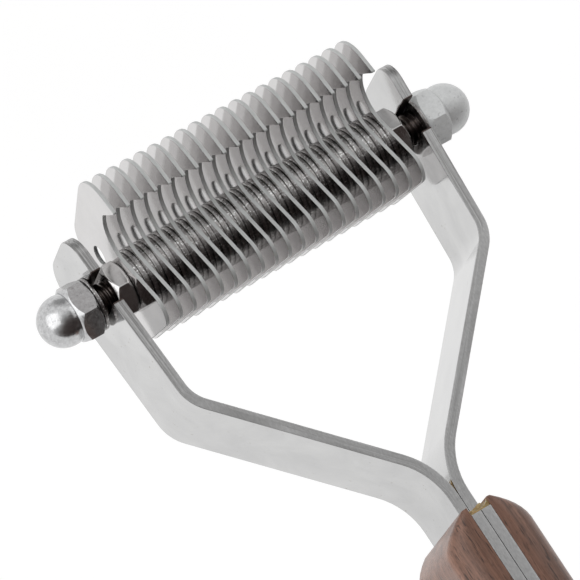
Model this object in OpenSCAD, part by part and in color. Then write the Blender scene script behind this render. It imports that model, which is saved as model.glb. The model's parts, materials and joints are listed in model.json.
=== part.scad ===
// Deshedding rake: a pack of hooked steel blades on a threaded rod, carried in
// the open slots of two bent flat bars whose full tangs form the handle's core.
// Origin: centre of the hanging hole, midway between the two tangs.
// +Y points from the handle to the head, +X along the rod, +Z towards the side
// that the slots open to and the blades' hooks rise on.

/* [Blades] */
// Number of blades on the rod
blade_count = 20; // [8:1:20]
// Thickness of one blade
blade_t = 0.75; // [0.6:0.05:1]
// Radius of the sharp hook tip
hook_tip_r = 0.25; // [0.15:0.05:0.5]
// Radius of the locating hole in each blade
locating_hole_r = 1.9; // [1:0.1:1.9]

/* [Spacers] */
// Thickness of one spacer washer, two of which part each pair of blades
spacer_t = 1.05; // [0.8:0.05:1.2]
// Outer diameter of a spacer washer
spacer_d = 12; // [10:0.5:12.5]

/* [Rod and nuts] */
// Diameter of the threaded rod
rod_d = 6; // [5.5:0.1:6]
// Width across the flats of every nut
nut_flats = 10; // [9:0.5:10]
// Height of the low nut at each end of the blade pack
inner_nut_h = 3.6; // [3.2:0.1:3.6]
// Height of the hexagon of an acorn nut
acorn_hex_h = 4.4; // [4:0.1:5]
// Distance from an acorn nut's bearing face to its dome's centre
acorn_dome_x = 5.7; // [5.5:0.1:7]
// Diameter of an acorn nut's dome
acorn_dome_d = 9.5; // [9:0.1:9.8]
// Thickness of the washer under each acorn nut
outer_washer_t = 0.6; // [0.5:0.1:1.6]
// Outer diameter of the washer under each acorn nut
outer_washer_d = 10; // [9:0.5:12]
// Offset of the blade pack towards the right arm
pack_shift = -0.3; // [-0.3:0.1:0.3]

/* [Arms] */
// Thickness of the flat bar
bar_t = 2; // [1.8:0.1:2.2]
// Width of the flat bar
bar_w = 20; // [18:1:22]
// Distance between the arms' outer faces at the rod
head_w = 67.7; // [67.6:0.1:70]
// Outward lean of each arm between its outer bend and its end
splay = 3.5; // [3:0.1:4]
// Distance from the rod to each arm's end
lobe_len = 11.4; // [9:0.1:14]
// Radius of the arm's end corner beside the slot's mouth
lobe_near_r = 4.5; // [2:0.5:6]
// Radius of the arm's end corner on the far side
lobe_far_r = 7; // [2:0.5:8]
// Distance from the rod to the outer bend
outer_bend = 24.9; // [23:0.1:30]
// Distance from the rod to the inner bend
inner_bend = 56.7; // [54:0.1:58]
// Inside radius of the outer bends
outer_bend_r = 6.5; // [2:0.5:8]
// Inside radius of the inner bends, above the handle
inner_bend_r = 14; // [6:0.5:15]
// Width of the open slot for the rod
slot_w = 6.4; // [6.2:0.1:7]
// Height of the rod's axis above the bar's centre line
rod_z = 2.4; // [2:0.1:3]

/* [Handle] */
// Distance from the hanging hole to the top of the tangs
tang_top = 90; // [80:1:100]
// Distance from the top of the tangs to the rod
neck_len = 67; // [64:1:75]
// Distance from the hanging hole to the end of the butt
butt_len = 12; // [12:1:14]
// Width of the handle at its top
handle_w = 30; // [28:1:32]
// Width of the handle at its waist
waist_w = 25.6; // [24:0.2:28]
// Width of the handle across the hanging hole
butt_w = 29; // [27:0.5:32]
// Thickness of a scale where it is thickest
scale_t = 6.5; // [6:0.5:8]
// Radius of a scale's outer edges
scale_edge_r = 5; // [3:0.5:5]
// Radius of the two handle pins
pin_r = 2; // [1.5:0.1:2.5]
// Radius of the hanging hole through the eyelet
hang_hole_r = 2.5; // [2:0.1:2.8]

/* [Hidden] */
$fn = 64;
FIT = 0.05;            // running clearance between the rod and what turns on it
SEAM = 0.03;           // half the gap between the two tangs, and between glued faces
ARC_STEPS = 8;         // straight steps in a rounded corner of an outline
TINY = 0.01;           // overlap of a cutting profile's corner
CUT = 1;               // how far a cutting shape runs past what it cuts

rod_y = tang_top + neck_len;
rod_r = rod_d / 2;
pitch = blade_t + 2 * spacer_t;
pack_len = blade_count * blade_t + (blade_count - 1) * 2 * spacer_t;
arm_x = head_w / 2;
outer_bend_x = arm_x - outer_bend * tan(splay);
outer_washer_x = arm_x + outer_washer_d / 2 * tan(splay) + SEAM;
acorn_x = outer_washer_x + outer_washer_t + SEAM;
rod_len = 2 * (acorn_x + acorn_dome_x);
eyelet_r = hang_hole_r + 1.3;
eyelet_flange_r = hang_hole_r + 2.6;
eyelet_flange_t = 0.6;
pin_ys = [18, 68];
waist_y = 38;
straight_y = 70;
butt_round = 10;
grip_steps = 12;
scale_end_l = 6.5;
scale_overhang = 1.5;
scale_face_x = bar_t + 2 * SEAM;
grip_x = scale_face_x + scale_t;

function two_digits(i) = str(i < 10 ? "0" : "", i);
function blade_name(i) = str("blade_", two_digits(i));
function spacer_name(i) = str("spacer_pair_", two_digits(i));

// ---- outlines ----

function unit(v) = v / norm(v);
function turned(v, a) = [v.x * cos(a) - v.y * sin(a), v.x * sin(a) + v.y * cos(a)];

// The arc that rounds one corner of an outline, as straight steps.
function fillet(before, corner, after, r) =
    let (
        back = unit(before - corner),
        on = unit(after - corner),
        half = acos(back * on) / 2,
        centre = corner + unit(back + on) * r / sin(half),
        start = corner + back * r / tan(half) - centre,
        sweep = -sign(cross(back, on)) * (180 - 2 * half)
    )
    [for (i = [0:ARC_STEPS]) centre + turned(start, sweep * i / ARC_STEPS)];

// A closed outline from corners given as [x, y, radius].
function rounded(corners) =
    let (n = len(corners))
    [
        for (i = [0:n - 1])
            let (
                c = corners[i],
                a = corners[(i + n - 1) % n],
                b = corners[(i + 1) % n]
            )
            each c.z == 0 ? [[c.x, c.y]] : fillet([a.x, a.y], [c.x, c.y], [b.x, b.y], c.z)
    ];

// Where the line through p along a direction meets the line through q along another.
function meet(p, along, q, other) = p + along * cross(q - p, other) / cross(along, other);

// Extrudes an outline drawn in Y and Z from x0 to x1.
module across(points, x0, x1) {
    translate([x0, 0, 0]) rotate([90, 0, 90]) linear_extrude(x1 - x0) polygon(points);
}

// A cylinder along X, centred on the point y, z.
module x_cylinder(r, x0, x1, y = 0, z = 0) {
    translate([x0, y, z]) rotate([0, 90, 0]) cylinder(r = r, h = x1 - x0);
}

// ---- blades and what they turn on ----

// Corners of a blade seen along the rod, measured from the rod: [y, z, radius].
BLADE_CORNERS = [
    [8.2, 16.4, hook_tip_r],   // hook tip
    [18.7, 14.2, 6.8],         // crown
    [14.8, -8, 5],             // back
    [-7.2, -13.2, 2.5],        // foot
    [-8.6, -10.4, 0.8],        // front edge, low end
    [-12, 12.8, 3.4],          // front edge, high end
    [8.4, 3.6, 5.6],           // bottom of the throat
    [10.4, 11.1, 0.9]          // under the hook
];
LOCATING_HOLE = [7.6, -2.5];

module blade(i) {
    x0 = pack_shift - pack_len / 2 + (i - 1) * pitch;
    color("lightgrey")
    translate([0, rod_y, rod_z])
    difference() {
        across(rounded(BLADE_CORNERS), x0, x0 + blade_t);
        x_cylinder(rod_r + FIT, x0 - CUT, x0 + blade_t + CUT);
        x_cylinder(locating_hole_r, x0 - CUT, x0 + blade_t + CUT, LOCATING_HOLE.x, LOCATING_HOLE.y);
    }
}

module washer(r, t, x0, bore_r) {
    translate([0, rod_y, rod_z])
    difference() {
        x_cylinder(r, x0, x0 + t);
        x_cylinder(bore_r, x0 - CUT, x0 + t + CUT);
    }
}

module spacer_pair(i) {
    x0 = pack_shift - pack_len / 2 + (i - 1) * pitch + blade_t;
    color("dimgrey")
    for (k = [0, 1])
        washer(spacer_d / 2, spacer_t - SEAM / 2, x0 + k * (spacer_t + SEAM / 2), rod_r + FIT);
}

module threaded_rod() {
    color("dimgrey")
    translate([0, rod_y, rod_z])
    x_cylinder(rod_r, -rod_len / 2, rod_len / 2);
}

// A hexagon of height h from x = 0, its ends chamfered at an angle to their faces.
module hexagon(h, chamfer) {
    corner_r = nut_flats / 2 / cos(30);
    chamfer_r = nut_flats / 2 * 0.95;
    chamfer_h = (corner_r - chamfer_r) * tan(chamfer);
    rotate([0, 90, 0])
    intersection() {
        cylinder(r = corner_r, h = h, $fn = 6);
        rotate_extrude()
        polygon([
            [0, 0], [chamfer_r, 0], [corner_r + TINY, chamfer_h],
            [corner_r + TINY, h - chamfer_h], [chamfer_r, h], [0, h]
        ]);
    }
}

module inner_nut(x0, turn) {
    color("silver")
    translate([0, rod_y, rod_z])
    difference() {
        translate([x0, 0, 0]) rotate([turn, 0, 0]) hexagon(inner_nut_h, 40);
        x_cylinder(rod_r + FIT, x0 - CUT, x0 + inner_nut_h + CUT);
    }
}

// An acorn nut on the right end, opening towards the arm.
module acorn_nut(turn) {
    bore_depth = acorn_dome_x + 1.2;
    color("gainsboro")
    translate([acorn_x, rod_y, rod_z])
    difference() {
        union() {
            rotate([turn, 0, 0]) hexagon(acorn_hex_h, 45);
            translate([acorn_dome_x, 0, 0]) sphere(d = acorn_dome_d);
        }
        x_cylinder(rod_r + FIT, -CUT, bore_depth);
    }
}

module outer_washer() {
    color("silver")
    washer(outer_washer_d / 2, outer_washer_t, outer_washer_x, rod_r + FIT);
}

// ---- arms ----

// The right arm seen from the near side: one bar bent outwards, then back.
function arm_outline() =
    let (
        lean = [sin(splay), cos(splay)],
        thick = bar_t * [-cos(splay), sin(splay)],
        top_y = rod_y + lobe_len,
        outer_knee = [outer_bend_x, rod_y - outer_bend],
        outer_foot = [bar_t + SEAM, rod_y - inner_bend],
        slope = unit(outer_foot - outer_knee),
        inward = bar_t * [slope.y, -slope.x],
        inner_knee = meet(outer_knee + thick, lean, outer_knee + inward, slope),
        inner_foot = meet(outer_knee + inward, slope, [SEAM, 0], [0, 1]),
        outer_top = outer_knee + lean * (top_y - outer_knee.y) / lean.y,
        inner_top = inner_knee + lean * (top_y - inner_knee.y) / lean.y
    )
    rounded([
        [outer_top.x, outer_top.y, 0],
        [outer_knee.x, outer_knee.y, outer_bend_r + bar_t],
        [outer_foot.x, outer_foot.y, inner_bend_r],
        [bar_t + SEAM, tang_top - CUT, 0],
        [SEAM, tang_top - CUT, 0],
        [inner_foot.x, inner_foot.y, inner_bend_r + bar_t],
        [inner_knee.x, inner_knee.y, outer_bend_r],
        [inner_top.x, inner_top.y, 0]
    ]);

// The bar's outline seen along the rod, rounded at the end beyond the rod.
function bar_side() = rounded([
    [tang_top - 2 * CUT, -bar_w / 2, 0],
    [rod_y + lobe_len, -bar_w / 2, lobe_far_r],
    [rod_y + lobe_len, bar_w / 2, lobe_near_r],
    [tang_top - 2 * CUT, bar_w / 2, 0]
]);

function eased(t) = (1 - cos(180 * max(0, min(1, t)))) / 2;
function mixed(a, b, t) = a + (b - a) * t;

// Half width of the handle at y: widest at its top, a waist, then a fuller butt.
function grip_half(y) =
    y > waist_y
        ? mixed(waist_w, handle_w, eased((y - waist_y) / (straight_y - waist_y))) / 2
        : mixed(waist_w, butt_w, eased((waist_y - y) / waist_y)) / 2;

// Stations along the handle: [y, share of the half width, share of the thickness].
BUTT_STATIONS = [
    for (a = [80:-10:0])
        [butt_round * (1 - sin(a)) - butt_len, pow(cos(a), 0.7), mixed(0.4, 1, pow(cos(a), 0.7))]
];
GRIP_STATIONS = [
    for (i = [1:grip_steps])
        [mixed(butt_round - butt_len, tang_top - scale_end_l, i / (grip_steps + 1)), 1, 1]
];
SCALE_TOP_STATIONS = [
    for (i = [0:6])
        [tang_top + scale_overhang - scale_end_l * (1 - i / 6), 1, 1 - 0.85 * pow(i / 6, 2)]
];

function tang_side() =
    let (
        grip = [
            for (s = concat(BUTT_STATIONS, GRIP_STATIONS)) [s.x, grip_half(s.x) * s.y],
            [tang_top, handle_w / 2]
        ],
        n = len(grip)
    )
    concat(grip, [for (i = [n - 1:-1:0]) [grip[i].x, -grip[i].y]]);

module handle_holes(x0, x1) {
    for (y = pin_ys)
        x_cylinder(pin_r + SEAM, x0, x1, y);
    x_cylinder(eyelet_r + SEAM, x0, x1);
}

module right_arm() {
    color("gainsboro")
    difference() {
        union() {
            intersection() {
                translate([0, 0, -bar_w]) linear_extrude(2 * bar_w) polygon(arm_outline());
                across(bar_side(), -CUT, head_w);
            }
            across(tang_side(), SEAM, SEAM + bar_t);
        }
        translate([0, rod_y, rod_z]) {
            x_cylinder(slot_w / 2, arm_x / 2, head_w);
            translate([arm_x / 2, -slot_w / 2, 0]) cube([head_w, slot_w, bar_w]);
        }
        handle_holes(-CUT, bar_t + CUT);
    }
}

// ---- handle ----

// One ring of points round the right scale, square to the handle.
function scale_ring(s) =
    let (
        half = grip_half(s.x) * s.y,
        t = scale_t * s.z,
        r = min(scale_edge_r, t * 0.8, half * 0.8)
    )
    [
        for (p = rounded([
            [scale_face_x, -half, 0], [scale_face_x + t, -half, r],
            [scale_face_x + t, half, r], [scale_face_x, half, 0]
        ])) [p.x, s.x, p.y]
    ];

module right_scale() {
    rings = [for (s = concat(BUTT_STATIONS, GRIP_STATIONS, SCALE_TOP_STATIONS)) scale_ring(s)];
    n = len(rings[0]);
    last = len(rings) - 1;
    color("saddlebrown")
    difference() {
        polyhedron(
            points = [for (ring = rings) each ring],
            faces = concat(
                [[for (i = [n - 1:-1:0]) i], [for (i = [0:n - 1]) last * n + i]],
                [
                    for (k = [0:last - 1], i = [0:n - 1])
                        [k * n + i, k * n + (i + 1) % n, (k + 1) * n + i]
                ],
                [
                    for (k = [0:last - 1], i = [0:n - 1])
                        [k * n + (i + 1) % n, (k + 1) * n + (i + 1) % n, (k + 1) * n + i]
                ]
            )
        );
        handle_holes(0, grip_x + CUT);
    }
}

module handle_pins() {
    color("silver")
    for (y = pin_ys)
        x_cylinder(pin_r, -grip_x + 0.6, grip_x - 0.6, y);
}

module hang_eyelet() {
    color("silver")
    difference() {
        union() {
            x_cylinder(eyelet_r, -grip_x - eyelet_flange_t / 2, grip_x + eyelet_flange_t / 2);
            for (side = [-1, 1])
                translate([side * (grip_x + SEAM + eyelet_flange_t / 2), 0, 0])
                x_cylinder(eyelet_flange_r, -eyelet_flange_t / 2, eyelet_flange_t / 2);
        }
        x_cylinder(hang_hole_r, -grip_x - CUT, grip_x + CUT);
    }
}

// Glue standing proud in the two corners between the bars and the tangs' shoulders.
module epoxy_bead() {
    rise = (handle_w - bar_w) / 2;
    color("goldenrod")
    for (side = [-1, 1])
        across([
            [tang_top + SEAM, side * (bar_w / 2 + SEAM)],
            [tang_top + 1.8, side * (bar_w / 2 + SEAM)],
            [tang_top + 0.9, side * (bar_w / 2 + rise * 0.4)],
            [tang_top + SEAM, side * (bar_w / 2 + rise * 0.7)]
        ], -bar_t, bar_t);
}

for (i = [1:blade_count])
    blade(i);
for (i = [1:blade_count - 1])
    spacer_pair(i);
threaded_rod();
inner_nut(pack_shift - pack_len / 2 - inner_nut_h, 9);  // left_inner_nut
inner_nut(pack_shift + pack_len / 2, 0);  // right_inner_nut
mirror([1, 0, 0]) outer_washer();  // left_outer_washer
outer_washer();  // right_outer_washer
mirror([1, 0, 0]) acorn_nut(20);  // left_acorn_nut
acorn_nut(20);  // right_acorn_nut
mirror([1, 0, 0]) right_arm();  // left_arm
right_arm();
mirror([1, 0, 0]) right_scale();  // left_handle_scale
right_scale();  // right_handle_scale
handle_pins();
hang_eyelet();
epoxy_bead();
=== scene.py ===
"""Looks for the deshedding rake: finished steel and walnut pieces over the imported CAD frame."""

import json
import math

import bmesh
import bpy
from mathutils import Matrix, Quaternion, Vector, noise


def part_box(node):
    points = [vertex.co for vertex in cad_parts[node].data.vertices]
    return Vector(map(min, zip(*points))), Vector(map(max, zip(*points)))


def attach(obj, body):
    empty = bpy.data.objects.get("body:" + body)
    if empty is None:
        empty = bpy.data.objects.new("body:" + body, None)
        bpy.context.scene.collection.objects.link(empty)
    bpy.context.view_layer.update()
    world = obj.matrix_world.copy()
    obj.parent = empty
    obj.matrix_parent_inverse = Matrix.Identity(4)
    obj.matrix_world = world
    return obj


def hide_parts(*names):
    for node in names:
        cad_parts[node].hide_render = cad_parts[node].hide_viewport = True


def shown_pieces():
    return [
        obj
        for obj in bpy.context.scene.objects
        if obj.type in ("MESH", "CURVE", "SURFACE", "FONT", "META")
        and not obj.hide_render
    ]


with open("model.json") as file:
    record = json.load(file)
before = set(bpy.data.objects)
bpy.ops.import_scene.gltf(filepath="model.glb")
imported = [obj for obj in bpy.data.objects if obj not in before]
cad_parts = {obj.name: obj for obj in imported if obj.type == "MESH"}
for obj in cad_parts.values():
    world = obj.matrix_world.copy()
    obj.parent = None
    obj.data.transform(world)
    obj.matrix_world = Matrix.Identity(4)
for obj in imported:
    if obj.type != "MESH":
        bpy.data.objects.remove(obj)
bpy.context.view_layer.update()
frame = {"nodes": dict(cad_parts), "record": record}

# ---- places and sizes: some read from the frame, the rest given ----

MM = 0.001
NODES = frame["nodes"]
BODY_OF = {n: body for body, members in frame["record"]["behaviour"]["bodies"].items() for n in members}

rod_low, rod_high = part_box("threaded_rod")
ROD = (rod_low + rod_high) / 2
ROD_R = (rod_high.z - rod_low.z) / 2
ROD_HALF = (rod_high.x - rod_low.x) / 2
pin_low, pin_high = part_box("handle_pins")
eyelet_low, eyelet_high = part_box("hang_eyelet")
bead_low, bead_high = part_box("epoxy_bead")
arm_low, arm_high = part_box("right_arm")

BAR_T = 2 * MM                       # the arms' flat bar: thickness, half its width
BAR_HALF_W = 10 * MM
SPLAY = math.radians(3.5)            # lean of an arm's upper end away from the middle
HEAD_HALF = 33.85 * MM               # from the middle to an arm's outer face at the rod
OUTER_BEND = 24.9 * MM               # the two bends, measured down from the rod
INNER_BEND = 56.7 * MM
OUTER_BEND_R = 7.5 * MM              # their radii along the bar's middle
INNER_BEND_R = 15 * MM
TANG_TOP = bead_low.y
THREAD_PITCH = 1 * MM


# ---- meshes ----

def mesh_piece(name, points, faces, body, smooth_angle=30):
    """A new mesh object that rides on a CAD body, smooth except across sharp edges."""
    mesh = bpy.data.meshes.new(name)
    mesh.from_pydata(points, [], faces)
    piece = bpy.data.objects.new(name, mesh)
    bpy.context.scene.collection.objects.link(piece)
    smooth(mesh, smooth_angle)
    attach(piece, body)
    return piece


def smooth(mesh, angle):
    """Shades a mesh smooth and marks the edges sharper than angle."""
    work = bmesh.new()
    work.from_mesh(mesh)
    bmesh.ops.recalc_face_normals(work, faces=work.faces)
    for face in work.faces:
        face.smooth = True
    for edge in work.edges:
        edge.smooth = len(edge.link_faces) == 2 and edge.calc_face_angle(0) < math.radians(angle)
    work.to_mesh(mesh)
    work.free()


def finished(node, bevel, flatten=0.5, smooth_angle=32, segments=2):
    """A copy of a CAD node's shape with its sharp edges eased; it stands for the node."""
    work = bmesh.new()
    work.from_mesh(NODES[node].data)
    bmesh.ops.remove_doubles(work, verts=work.verts, dist=0.001 * MM)
    bmesh.ops.dissolve_limit(
        work, angle_limit=math.radians(flatten), verts=work.verts, edges=work.edges
    )
    sharp = [
        e for e in work.edges
        if len(e.link_faces) == 2 and e.calc_face_angle(0) > math.radians(smooth_angle)
    ]
    bmesh.ops.bevel(
        work, geom=sharp, offset=bevel, segments=segments, profile=0.5,
        affect="EDGES", clamp_overlap=True
    )
    mesh = bpy.data.meshes.new(node + "_finished")
    work.to_mesh(mesh)
    work.free()
    piece = bpy.data.objects.new(node + "_finished", mesh)
    bpy.context.scene.collection.objects.link(piece)
    smooth(mesh, smooth_angle + 10)
    modifier = piece.modifiers.new("normals", "WEIGHTED_NORMAL")
    modifier.keep_sharp = True
    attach(piece, BODY_OF[node])
    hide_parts(node)
    return piece


def grid_faces(rows, columns, closed=True):
    """Quads between rows of points; closed joins each row's last point to its first."""
    faces = []
    for i in range(rows - 1):
        for j in range(columns if closed else columns - 1):
            k = (j + 1) % columns
            faces.append((i * columns + j, i * columns + k, (i + 1) * columns + k, (i + 1) * columns + j))
    return faces


def turned_about_x(centre, profile, steps):
    """Points of a profile of (x, radius) pairs turned about the X line through centre."""
    return [
        (centre.x + x, centre.y + r * math.cos(a), centre.z + r * math.sin(a))
        for x, r in profile
        for a in (2 * math.pi * k / steps for k in range(steps))
    ]


def lathe(name, centre, profile, body, steps=64, ring=False):
    """A piece turned about X; ring joins the profile's end to its start, else the ends are capped."""
    points = turned_about_x(centre, profile + ([profile[0]] if ring else []), steps)
    rows = len(profile) + (1 if ring else 0)
    faces = grid_faces(rows, steps)
    if not ring:
        faces.append(tuple(range(steps)))
        faces.append(tuple((rows - 1) * steps + k for k in range(steps)))
    piece = mesh_piece(name, points, faces, body)
    if ring:
        work = bmesh.new()
        work.from_mesh(piece.data)
        bmesh.ops.remove_doubles(work, verts=work.verts, dist=0.001 * MM)
        work.to_mesh(piece.data)
        work.free()
        smooth(piece.data, 30)
    return piece


def arc(cx, cr, radius, start, stop, steps):
    """Profile points on an arc; 0 degrees points along +X and 90 away from the axis."""
    angles = [math.radians(start + (stop - start) * k / steps) for k in range(steps + 1)]
    return [(cx + radius * math.cos(a), cr + radius * math.sin(a)) for a in angles]


# ---- the rod's thread ----

def thread_radius(x, turn):
    """Radius of a rounded 60 degree thread, run out over the chamfered ends."""
    depth = 0.58 * MM
    play = 0.02 * MM
    chamfer = 0.8 * MM
    phase = (x / THREAD_PITCH - turn) % 1
    groove = depth * (0.5 + 0.5 * math.cos(2 * math.pi * phase)) ** 0.8
    return min(ROD_R - play - groove, ROD_R - chamfer + ROD_HALF - abs(x))


def threaded_rod():
    columns = 48
    rows_per_turn = 10
    rows = int(2 * ROD_HALF / THREAD_PITCH * rows_per_turn)
    points = []
    for i in range(rows + 1):
        x = -ROD_HALF + 2 * ROD_HALF * i / rows
        for j in range(columns):
            turn = j / columns
            r = thread_radius(x, turn)
            a = 2 * math.pi * turn
            points.append((ROD.x + x, ROD.y + r * math.cos(a), ROD.z + r * math.sin(a)))
    faces = grid_faces(rows + 1, columns)
    faces.append(tuple(range(columns)))
    faces.append(tuple(rows * columns + j for j in range(columns)))
    piece = mesh_piece("thread", points, faces, BODY_OF["threaded_rod"], 60)
    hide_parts("threaded_rod")
    return piece


# ---- handle furniture ----

def eyelet():
    """A tube through the handle with its two lips rolled over the scales."""
    bore = 2.5 * MM
    tube = 3.8 * MM
    lip_r = 5.1 * MM
    face = eyelet_high.x - 0.6 * MM
    rolled = 0.3 * MM
    profile = [(-face, tube), (face, tube), (face, lip_r - rolled)]
    profile += arc(face + rolled, lip_r - rolled, rolled, 180, 0, 8)[1:]
    profile += arc(face - 0.3 * MM, bore + 0.9 * MM, 0.9 * MM, 90, 180, 8)
    profile += [(-x, r) for x, r in reversed(profile[2:])]
    piece = lathe("eyelet", Vector((0, 0, 0)), profile, "handle", ring=True)
    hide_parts("hang_eyelet")
    return piece


def handle_pins():
    """Two pins peened to low domes, flush with the scales."""
    r = (pin_high.z - pin_low.z) / 2
    half = pin_high.x
    pins = []
    for name, y in (("pin_lower", pin_low.y + r), ("pin_upper", pin_high.y - r)):
        dome = [(half - 0.35 * MM + 0.95 * MM * math.cos(a), r * math.sin(a))
                for a in (math.radians(d) for d in range(90, 4, -10))]
        profile = [(-x, q) for x, q in reversed(dome)] + dome
        pins.append(lathe(name, Vector((0, y, 0)), profile, "handle", steps=40))
    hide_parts("handle_pins")
    return pins


# ---- glue ----

def glue_bead():
    """Glue filling the step between the bars' edges and the tangs' shoulders, on both sides."""
    half_x = BAR_T + 0.04 * MM
    inner_z = BAR_HALF_W + 0.02 * MM
    outer_z = 14.6 * MM
    columns, rows = 28, 24
    beads = []
    for side, name in ((1, "glue_bead_near"), (-1, "glue_bead_far")):
        top, bottom = [], []
        for i in range(rows + 1):
            z = inner_z + (outer_z - inner_z) * i / rows
            for j in range(columns + 1):
                x = -half_x + 2 * half_x * j / columns
                rise = glue_rise(x, z, half_x - abs(x), z - inner_z, side)
                top.append((x, TANG_TOP + rise, side * z))
                bottom.append((x, TANG_TOP, side * z))
        n = len(top)
        faces = grid_faces(rows + 1, columns + 1, closed=False)
        faces += [tuple(n + k for k in reversed(f)) for f in faces]
        rim = grid_rim(rows, columns)
        for a, b in zip(rim, rim[1:] + rim[:1]):
            faces.append((a, b, n + b, n + a))
        beads.append(mesh_piece(name, top + bottom, faces, "handle", 80))
    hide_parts("epoxy_bead")
    return beads


def glue_rise(x, z, from_wall, from_bar, side):
    """Height of the glue above the tangs: it climbs the scales' walls and the bars' edges."""
    wall_climb = 0.9 * math.exp(-from_wall / (0.5 * MM)) * (1.0 if x > 0 else 0.55)
    bar_climb = 1.15 * math.exp(-from_bar / (0.9 * MM))
    lumps = 0.22 * noise.noise(Vector((x, z, side)) / (0.7 * MM))
    rise = max(0.05, 0.25 + wall_climb + bar_climb + lumps)
    return min(rise, 1.75) * MM


def grid_rim(rows, columns):
    """The points around the outside of a grid of rows and columns of quads, in order."""
    wide = columns + 1
    rim = list(range(wide))
    rim += [i * wide + columns for i in range(1, rows + 1)]
    rim += [rows * wide + j for j in range(columns - 1, -1, -1)]
    return rim + [i * wide for i in range(rows - 1, 0, -1)]


def glue_wedge():
    """Glue squeezed up the narrow gap where the two bars part above the handle."""
    start_y = 94.6 * MM
    length = 3.6 * MM
    half_depth = 9.6 * MM
    bend_r = 16 * MM
    steps = 14
    z_steps = 40
    points, count = [], 0
    for k in range(z_steps + 1):
        z = half_depth * (2 * k / z_steps - 1)
        reach = length * (0.85 + 0.25 * noise.noise(Vector((0, 1.5, z / (1.6 * MM)))))
        side = []
        for i in range(steps + 1):
            d = reach * i / steps
            side.append((0.02 * MM + 0.92 * d * d / (2 * bend_r), start_y + d))
        ring = [(-x, y, z) for x, y in side] + [(0.0, start_y + reach * 0.8, z)]
        ring += [(x, y, z) for x, y in reversed(side)]
        count = len(ring)
        points += ring
    faces = grid_faces(z_steps + 1, count)
    faces.append(tuple(range(count)))
    faces.append(tuple(z_steps * count + j for j in range(count)))
    return mesh_piece("glue_wedge", points, faces, "handle", 60)


# ---- materials ----

def colour_ramp(tree, source, stops):
    """A colour ramp through (position, grey or colour) stops."""
    made = tree.nodes.new("ShaderNodeValToRGB")
    tree.links.new(source, made.inputs["Fac"])
    elements = made.color_ramp.elements
    while len(elements) < len(stops):
        elements.new(0.5)
    for element, (position, colour) in zip(elements, stops):
        element.position = position
        if not isinstance(colour, (tuple, list)):
            colour = (colour, colour, colour)
        element.color = (*colour, 1)
    return made.outputs["Color"]


class Shader:
    """Short calls for building a node material."""

    def __init__(self, name):
        self.material = bpy.data.materials.new(name)
        self.material.use_nodes = True
        self.tree = self.material.node_tree
        self.surface = self.tree.nodes["Principled BSDF"]

    def node(self, kind, values=None, **links):
        made = self.tree.nodes.new(kind)
        for key, value in (values or {}).items():
            if hasattr(made, key):
                setattr(made, key, value)
            else:
                made.inputs[key].default_value = value
        for key, source in links.items():
            self.join(source, made.inputs[key.replace("_", " ")])
        return made

    def join(self, source, target):
        self.tree.links.new(source, target)

    def place(self, scale=(1, 1, 1), attribute=None):
        """Object coordinates in millimetres, or a stored attribute, stretched by scale."""
        if attribute:
            source = self.node("ShaderNodeAttribute", {"attribute_name": attribute}).outputs["Vector"]
        else:
            source = self.node("ShaderNodeTexCoord").outputs["Object"]
        mapping = self.node("ShaderNodeMapping", {"Scale": [s / MM for s in scale]}, Vector=source)
        return mapping.outputs["Vector"]

    def axes(self):
        """The X, Y and Z of a place on the piece, in metres."""
        place = self.node("ShaderNodeTexCoord").outputs["Object"]
        return self.node("ShaderNodeSeparateXYZ", Vector=place).outputs

    def noise(self, place, scale, detail=4, roughness=0.55, distortion=0):
        values = {"Scale": scale, "Detail": detail, "Roughness": roughness, "Distortion": distortion}
        return self.node("ShaderNodeTexNoise", values, Vector=place).outputs["Fac"]

    def ramp(self, source, stops):
        return colour_ramp(self.tree, source, stops)

    def mix(self, share, a, b, blend="MIX"):
        made = self.tree.nodes.new("ShaderNodeMix")
        made.data_type = "RGBA"
        made.blend_type = blend
        made.clamp_factor = True
        if isinstance(share, (int, float)):
            made.inputs[0].default_value = share
        else:
            self.join(share, made.inputs[0])
        for value, target in ((a, made.inputs[6]), (b, made.inputs[7])):
            self.colour_input(value, target)
        return made.outputs[2]

    def colour_input(self, value, target):
        if isinstance(value, (int, float)):
            target.default_value = (value, value, value, 1)
        elif isinstance(value, (tuple, list)):
            target.default_value = (*value, 1)
        else:
            self.join(value, target)

    def math(self, operation, a, b=0.0):
        made = self.node("ShaderNodeMath", {"operation": operation})
        for value, target in ((a, made.inputs[0]), (b, made.inputs[1])):
            if isinstance(value, (int, float)):
                target.default_value = value
            else:
                self.join(value, target)
        return made.outputs[0]

    def bump(self, height, strength, distance):
        """Joins a bump of at most distance, in millimetres, to the surface."""
        made = self.node("ShaderNodeBump", {"Strength": strength, "Distance": distance * MM}, Height=height)
        self.join(made.outputs["Normal"], self.surface.inputs["Normal"])
        return made

    def set(self, **values):
        for key, value in values.items():
            target = self.surface.inputs[key.replace("_", " ")]
            if isinstance(value, (int, float)):
                target.default_value = value
            elif isinstance(value, (tuple, list)):
                target.default_value = (*value, 1)
            else:
                self.join(value, target)
        return self.material


def faces_axis(s, axis, limit=0.7):
    """1 where a surface's normal leans towards an axis of the frame by more than limit, else 0."""
    facing = s.node("ShaderNodeSeparateXYZ", Vector=s.node("ShaderNodeNewGeometry").outputs["Normal"])
    return s.math("GREATER_THAN", s.math("ABSOLUTE", facing.outputs[axis]), limit)


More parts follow.
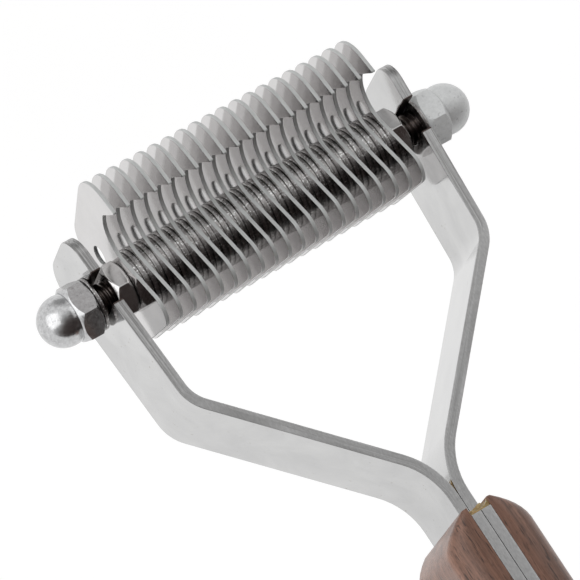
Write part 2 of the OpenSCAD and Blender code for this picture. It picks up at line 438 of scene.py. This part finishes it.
def blade_steel():
    """Rolled stainless sheet that mirrors its neighbours; its cut edges are dull."""
    s = Shader("blade steel")
    cloud = s.noise(s.place(), 0.16, 4, 0.6)
    grind = s.noise(s.place((1, 0.3, 3)), 1.6, 6, 0.7)
    face = s.ramp(cloud, ((0.35, (0.6, 0.59, 0.588)), (0.65, (0.64, 0.63, 0.627))))
    sheared = s.noise(s.place((3, 0.4, 0.4)), 1.0, 4, 0.7)
    cut = s.ramp(sheared, ((0.3, (0.42, 0.43, 0.425)), (0.7, (0.57, 0.58, 0.575))))
    sheet = faces_axis(s, "X")
    colour = s.mix(sheet, cut, face)
    rough = s.mix(sheet, 0.62, s.ramp(grind, ((0.3, 0.07), (0.75, 0.14))))
    s.bump(grind, 0.14, 0.01)
    return s.set(Base_Color=colour, Metallic=s.mix(sheet, 0.35, 1.0), Roughness=rough)


def bar_steel():
    """Flat bar: bright rolled faces with small pits, and darker edges with lengthwise cut lines."""
    s = Shader("arm steel")
    place = s.place((1, 1, 1), "unbent")
    cloud = s.noise(place, 0.09, 4, 0.6, 0.6)
    pit = s.ramp(s.noise(place, 1.3, 2, 0.4), ((0.72, 0), (0.77, 1)))
    grain = s.noise(s.place((1.2, 0.06, 1.2), "unbent"), 2.2, 5, 0.65)
    face = s.ramp(cloud, ((0.35, (0.54, 0.54, 0.54)), (0.65, (0.615, 0.615, 0.612))))
    face = s.mix(pit, face, (0.42, 0.4, 0.38))
    x, y, z = s.axes()
    towards_rod = s.math("DIVIDE", s.math("SUBTRACT", y, TANG_TOP), ROD.y - TANG_TOP)
    # the bar's faces and edges are made darker towards the handle, most at the tangs' top
    darker_near_handle = s.ramp(towards_rod, ((0.0, 0.13), (0.85, 0.03)))
    face = s.mix(darker_near_handle, face, 0.0)

    fine = s.ramp(s.noise(s.place((2, 0.7, 2)), 1.6, 4, 0.7), ((0.3, 0.42), (0.7, 0.6)))
    cut = s.ramp(
        s.noise(s.place((2.2, 0.012, 0.3), "unbent"), 1.0, 3, 0.6),
        ((0.36, 1), (0.44, 0.1), (0.5, 1), (0.57, 0.25), (0.63, 1)),
    )
    depth = s.ramp(towards_rod, ((0.02, 0.15), (0.1, 0.5), (0.6, 0.5), (0.85, 1)))
    cut = s.mix(depth, 1.0, cut)
    strip = s.mix(darker_near_handle, s.mix(cut, (0.17, 0.165, 0.16), fine), 0.0)

    broad = faces_axis(s, "X")
    colour = s.mix(broad, strip, face)
    # painted shade: the bar in and just around the rod's slot is coloured near black brown, where its walls
    # mirror the dark thread
    stain_and_shade = 0.5 * MM
    in_slot = s.math("LESS_THAN", s.math("ABSOLUTE", s.math("SUBTRACT", y, ROD.y)), ROD_R + stain_and_shade)
    in_slot = s.math("MULTIPLY", in_slot, s.math("GREATER_THAN", z, ROD.z - ROD_R - stain_and_shade))
    colour = s.mix(in_slot, colour, (0.075, 0.058, 0.052))
    rough = s.mix(broad, 0.36, s.ramp(cloud, ((0.3, 0.07), (0.7, 0.15))))
    s.bump(s.mix(broad, cut, grain), 0.1, 0.02)
    return s.set(Base_Color=colour, Metallic=1.0, Roughness=rough)


def nut_steel():
    """Bright cold-formed nuts, lightly stained, with painted shade on their end faces where they meet the
    blades and arms.
    """
    s = Shader("nut steel")
    cloud = s.noise(s.place(), 0.5, 4)
    colour = s.ramp(cloud, ((0.3, (0.54, 0.525, 0.52)), (0.7, (0.66, 0.655, 0.65))))
    # painted shade: the end faces, pressed against the blades and arms, are coloured near black
    colour = s.mix(faces_axis(s, "X", 0.95), colour, (0.08, 0.065, 0.06))
    s.bump(s.noise(s.place(), 1.2, 4), 0.25, 0.04)
    return s.set(Base_Color=colour, Metallic=1.0, Roughness=s.ramp(cloud, ((0.3, 0.12), (0.7, 0.22))))


def acorn_steel(name, light, dark, sides, metallic, roughness):
    """Tumbled nut steel with soft mottling and small pits, and painted shade on its six sides in the share
    given for them.
    """
    s = Shader(name)
    place = s.place()
    mottle = s.noise(place, 1.5, 6, 0.75)
    pits = s.ramp(s.noise(place, 1.1, 3, 0.5), ((0.3, 0), (0.37, 1)))
    colour = s.mix(s.ramp(mottle, ((0.35, 0), (0.65, 1))), dark, light)
    colour = s.mix(pits, tuple(0.85 * c for c in dark), colour)

    # painted shade: the hexagon's six sides, outside the round dome, are darkened towards dark brown by the
    # given share
    x, y, z = s.axes()
    off_y = s.math("POWER", s.math("SUBTRACT", y, ROD.y), 2.0)
    off_z = s.math("POWER", s.math("SUBTRACT", z, ROD.z), 2.0)
    on_hexagon = s.math("GREATER_THAN", s.math("ADD", off_y, off_z), (4.85 * MM) ** 2)
    on_side = s.math("MULTIPLY", on_hexagon, s.math("SUBTRACT", 1.0, faces_axis(s, "X", 0.2)))
    colour = s.mix(s.math("MULTIPLY", on_side, sides), colour, (0.12, 0.1, 0.095))
    s.bump(s.mix(0.3, mottle, pits), 0.3, 0.03)
    rough = s.ramp(mottle, ((0.3, roughness), (0.7, roughness + 0.08)))
    return s.set(Base_Color=colour, Metallic=metallic, Roughness=rough)


def bright_acorn_steel():
    return acorn_steel(
        "bright acorn steel", (0.62, 0.625, 0.63), (0.42, 0.42, 0.425),
        sides=0.45, metallic=1.0, roughness=0.16
    )


def dull_acorn_steel():
    return acorn_steel(
        "dull acorn steel", (0.74, 0.75, 0.75), (0.63, 0.64, 0.64),
        sides=0.0, metallic=0.4, roughness=0.5
    )


def washer_steel():
    """Punched washer edges: streaked around the ring, oily and stained in the gaps."""
    s = Shader("washer steel")
    turned = s.noise(s.place((4, 0.2, 0.2)), 1.0, 4, 0.6)
    stain_and_shade = s.noise(s.place(), 0.45, 4, 0.6)
    speck = s.ramp(s.noise(s.place(), 2.6, 3, 0.6), ((0.56, 0), (0.64, 1)))
    colour = s.ramp(turned, ((0.35, (0.2, 0.19, 0.186)), (0.65, (0.45, 0.44, 0.436))))
    colour = s.mix(s.ramp(stain_and_shade, ((0.45, 0), (0.75, 0.6))), colour, (0.1, 0.08, 0.075))
    colour = s.mix(speck, colour, (0.78, 0.78, 0.77))
    s.bump(turned, 0.35, 0.03)
    return s.set(Base_Color=colour, Metallic=1.0, Roughness=0.3)


def thread_steel():
    """Oiled thread, coloured very dark: partly its own dark oil, partly painted shade of the slot and gaps
    it shows through.
    """
    s = Shader("thread steel")
    stain_and_shade = s.noise(s.place(), 0.9, 4, 0.6)
    # partly painted shade: the thread's colour is kept near black where it shows in the slot and between
    # parts
    colour = s.ramp(stain_and_shade, ((0.3, (0.06, 0.048, 0.044)), (0.7, (0.22, 0.19, 0.175))))
    s.bump(s.noise(s.place(), 5.0, 3), 0.2, 0.02)
    return s.set(Base_Color=colour, Metallic=1.0, Roughness=0.28)


def pin_steel():
    """Turned and peened steel of the pins and the eyelet."""
    s = Shader("pin steel")
    turned = s.noise(s.place(), 3.0, 4, 0.6)
    colour = s.ramp(turned, ((0.3, (0.5, 0.49, 0.48)), (0.7, (0.68, 0.67, 0.66))))
    s.bump(turned, 0.2, 0.02)
    return s.set(Base_Color=colour, Metallic=1.0, Roughness=s.ramp(turned, ((0.3, 0.2), (0.7, 0.32))))


def walnut():
    """Oiled walnut: long figure, fine fibre and short dark pores along the handle."""
    s = Shader("walnut")
    warp = s.noise(s.place((1, 0.12, 1)), 0.18, 3)
    bands = s.noise(s.place((0.7, 0.016, 0.5)), 1.0, 5, 0.65, 0.9)
    fibre = s.noise(s.place((5, 0.25, 5)), 1.0, 5, 0.75)
    long_pore = s.ramp(s.noise(s.place((2.6, 0.24, 2.6)), 1.0, 2, 0.5, 0.3), ((0.33, 0.8), (0.41, 0)))
    short_pore = s.ramp(s.noise(s.place((4.6, 0.7, 4.6)), 1.0, 2, 0.5, 0.2), ((0.32, 0.5), (0.41, 0)))
    pore = s.math("MAXIMUM", long_pore, short_pore)
    figure = s.mix(0.3, bands, warp)
    colour = s.ramp(figure, (
        (0.36, (0.06, 0.026, 0.016)),
        (0.45, (0.125, 0.057, 0.036)),
        (0.54, (0.195, 0.094, 0.06)),
        (0.68, (0.3, 0.158, 0.108)),
    ))
    colour = s.mix(s.ramp(fibre, ((0.35, 0), (0.7, 0.5))), colour, (0.3, 0.165, 0.115))
    colour = s.mix(pore, colour, (0.028, 0.013, 0.009))
    s.bump(s.mix(pore, fibre, 0.0), 0.4, 0.06)
    return s.set(
        Base_Color=colour, Roughness=s.ramp(fibre, ((0.3, 0.27), (0.7, 0.4))),
        Specular_IOR_Level=0.42, Sheen_Weight=0.1, Sheen_Tint=(0.9, 0.72, 0.68)
    )


def glue():
    """Set glue, amber and lumpy."""
    s = Shader("glue")
    cloud = s.noise(s.place(), 1.1, 4)
    colour = s.ramp(cloud, ((0.3, (0.24, 0.14, 0.045)), (0.7, (0.5, 0.36, 0.17))))
    s.bump(s.noise(s.place(), 2.2, 3), 0.4, 0.08)
    return s.set(Base_Color=colour, Roughness=0.25, Subsurface_Weight=0.15)


def wear(piece, material):
    piece.data.materials.clear()
    piece.data.materials.append(material)


# ---- bars: straightened coordinates for the grain to follow ----

def unit(v):
    return v / v.length


def bar_middle_line():
    """The right bar's middle line in the XY plane, with its two bends rounded."""
    knee = Vector((HEAD_HALF - OUTER_BEND * math.tan(SPLAY), ROD.y - OUTER_BEND))
    foot = Vector((BAR_T, ROD.y - INNER_BEND))
    down = unit(foot - knee)
    top = knee + Vector((math.sin(SPLAY), math.cos(SPLAY))) * (arm_high.y - knee.y)
    shift_top = Vector((-math.cos(SPLAY), math.sin(SPLAY))) * BAR_T / 2
    shift_mid = Vector((down.y, -down.x)) * BAR_T / 2
    knee_mid = meet(top + shift_top, knee - top, knee + shift_mid, down)
    foot_mid = meet(knee + shift_mid, down, Vector((BAR_T / 2, 0)), Vector((0, 1)))
    end = Vector((BAR_T / 2, arm_low.y))
    path = [top + shift_top]
    path += rounded(top + shift_top, knee_mid, foot_mid, OUTER_BEND_R)
    path += rounded(knee_mid, foot_mid, end, INNER_BEND_R)
    return path + [end]


def cross2(a, b):
    return a.x * b.y - a.y * b.x


def meet(p, along, q, other):
    return p + along * (cross2(q - p, other) / cross2(along, other))


def rounded(before, corner, after, radius, steps=10):
    """Points of the arc that rounds a corner."""
    back, on = unit(before - corner), unit(after - corner)
    half = math.acos(max(-1, min(1, back.dot(on)))) / 2
    centre = corner + unit(back + on) * radius / math.sin(half)
    start = corner + back * radius / math.tan(half) - centre
    sweep = -math.copysign(math.pi - 2 * half, cross2(back, on))
    points = []
    for i in range(steps + 1):
        a = sweep * i / steps
        turned = Vector((start.x * math.cos(a) - start.y * math.sin(a),
                         start.x * math.sin(a) + start.y * math.cos(a)))
        points.append(centre + turned)
    return points


def store_unbent(piece, mirror):
    """Stores each vertex's place on the bar as if it were straight: across, along, height."""
    apart = 40 * MM                  # keeps the two bars' grain from matching
    path = bar_middle_line()
    lengths = [0.0]
    for a, b in zip(path, path[1:]):
        lengths.append(lengths[-1] + (b - a).length)
    stored = piece.data.attributes.new("unbent", "FLOAT_VECTOR", "POINT")
    for vertex, value in zip(piece.data.vertices, stored.data):
        p = Vector((vertex.co.x * mirror, vertex.co.y))
        best = None
        for k, (a, b) in enumerate(zip(path, path[1:])):
            d = b - a
            t = max(0.0, min(1.0, (p - a).dot(d) / d.length_squared))
            gap = (p - a - d * t).length
            if best is None or gap < best[0]:
                best = (gap, math.copysign(gap, cross2(d, p - a)), lengths[k] + t * d.length)
        value.vector = (best[1] + apart * mirror, best[2], vertex.co.z)


# ---- assembly ----

def build():
    """Finishes every piece of the frame and gives it its material."""
    washer = washer_steel()
    finishes = {
        "blade_": (blade_steel(), {"bevel": 0.1 * MM}),
        "spacer_": (washer, {"bevel": 0.2 * MM, "segments": 3}),
        "inner_nut": (nut_steel(), {"bevel": 0.3 * MM, "segments": 3}),
        "outer_washer": (washer, {"bevel": 0.1 * MM}),
        "left_acorn": (bright_acorn_steel(), {"bevel": 0.1 * MM}),
        "right_acorn": (dull_acorn_steel(), {"bevel": 0.1 * MM}),
        "_arm": (bar_steel(), {"bevel": 0.15 * MM, "flatten": 0.1}),
        "_scale": (walnut(), {"bevel": 0.25 * MM, "flatten": 0.05, "smooth_angle": 40}),
    }
    for name in NODES:
        for part, (material, finish) in finishes.items():
            if part in name:
                wear(finished(name, **finish), material)
    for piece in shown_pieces():
        if piece.name.endswith("_arm_finished"):
            store_unbent(piece, -1 if piece.name.startswith("left") else 1)

    wear(threaded_rod(), thread_steel())
    pin = pin_steel()
    for piece in (eyelet(), *handle_pins()):
        wear(piece, pin)
    gum = glue()
    for piece in (*glue_bead(), glue_wedge()):
        wear(piece, gum)


# ---- stage ----

def floor():
    """A wide pale floor well below the object."""
    size, drop = 6.0, -0.16
    mesh = bpy.data.meshes.new("floor")
    mesh.from_pydata([(-size, -size, drop), (size, -size, drop), (size, size, drop), (-size, size, drop)],
                     [], [(0, 1, 2, 3)])
    made = bpy.data.objects.new("floor", mesh)
    bpy.context.scene.collection.objects.link(made)
    s = Shader("floor white")
    cloud = s.noise(s.place(), 0.004, 3)
    colour = s.ramp(cloud, ((0.3, 0.28), (0.7, 0.32)))
    wear(made, s.set(Base_Color=colour, Roughness=0.9, Emission_Color=(1, 1, 1), Emission_Strength=0.78))


def area_light(name, direction, distance, size, power):
    """A square soft light in a given direction from the head, facing it."""
    data = bpy.data.lights.new(name, "AREA")
    data.shape = "SQUARE"
    data.size = size
    data.energy = power
    made = bpy.data.objects.new(name, data)
    place = Vector(direction).normalized() * distance
    made.location = Vector((0, ROD.y - 30 * MM, 0)) + place
    made.rotation_euler = (-place).to_track_quat("-Z", "Y").to_euler()
    bpy.context.scene.collection.objects.link(made)


def surroundings():
    """A white room for the steel to mirror, dark on the camera's low side and grey beyond the head."""
    scene = bpy.context.scene
    scene.view_settings.view_transform = "Standard"
    world = bpy.data.worlds.new("room")
    scene.world = world
    world.use_nodes = True
    tree = world.node_tree
    low_side = room_patch(tree, (0.3, -0.9, 0.25), (
        (0.0, 1.0),
        (0.17, 0.6),
        (0.3, 0.46),
        (0.47, (0.2, 0.185, 0.18)),
        (0.65, (0.08, 0.066, 0.063)),
        (1.0, (0.045, 0.034, 0.032)),
    ))
    beyond_head = room_patch(tree, (0.45, 0.85, 0.1), ((0.7, 1.0), (0.94, 0.4)))
    both = tree.nodes.new("ShaderNodeVectorMath")
    both.operation = "MULTIPLY"
    tree.links.new(low_side, both.inputs[0])
    tree.links.new(beyond_head, both.inputs[1])
    tree.links.new(both.outputs["Vector"], tree.nodes["Background"].inputs["Color"])


def room_patch(tree, towards, stops):
    """The room's colour by how closely a direction points towards the middle of a patch."""
    dot = tree.nodes.new("ShaderNodeVectorMath")
    dot.operation = "DOT_PRODUCT"
    dot.inputs[1].default_value = Vector(towards).normalized()
    direction = tree.nodes.new("ShaderNodeTexCoord").outputs["Generated"]
    tree.links.new(direction, dot.inputs[0])
    return colour_ramp(tree, dot.outputs["Value"], stops)


def lights():
    area_light("key, left", (-1.0, 0.3, 0.7), 1.3, 1.4, 5.5)
    area_light("fill, right", (1.0, 0.1, 0.8), 1.3, 1.0, 2.5)


def camera():
    """The photographer's camera: a long lens high above the tool's left side, rolled."""
    elevation, azimuth, roll = math.radians(67.67), math.radians(209.2), math.radians(29.41)
    distance = 791.2 * MM
    aim = ROD + Vector((-2.6, -14.9, 0)) * MM
    back = Vector((
        math.cos(elevation) * math.cos(azimuth),
        math.cos(elevation) * math.sin(azimuth),
        math.sin(elevation),
    ))
    data = bpy.data.cameras.new("camera")
    data.sensor_width = 36
    data.lens = 280.6
    data.clip_start = 0.05
    data.clip_end = 20
    made = bpy.data.objects.new("camera", data)
    made.location = aim + back * distance
    made.rotation_euler = (back.to_track_quat("Z", "Y") @ Quaternion((0, 0, 1), roll)).to_euler()
    bpy.context.scene.collection.objects.link(made)
    bpy.context.scene.camera = made


build()
floor()
surroundings()
lights()
camera()
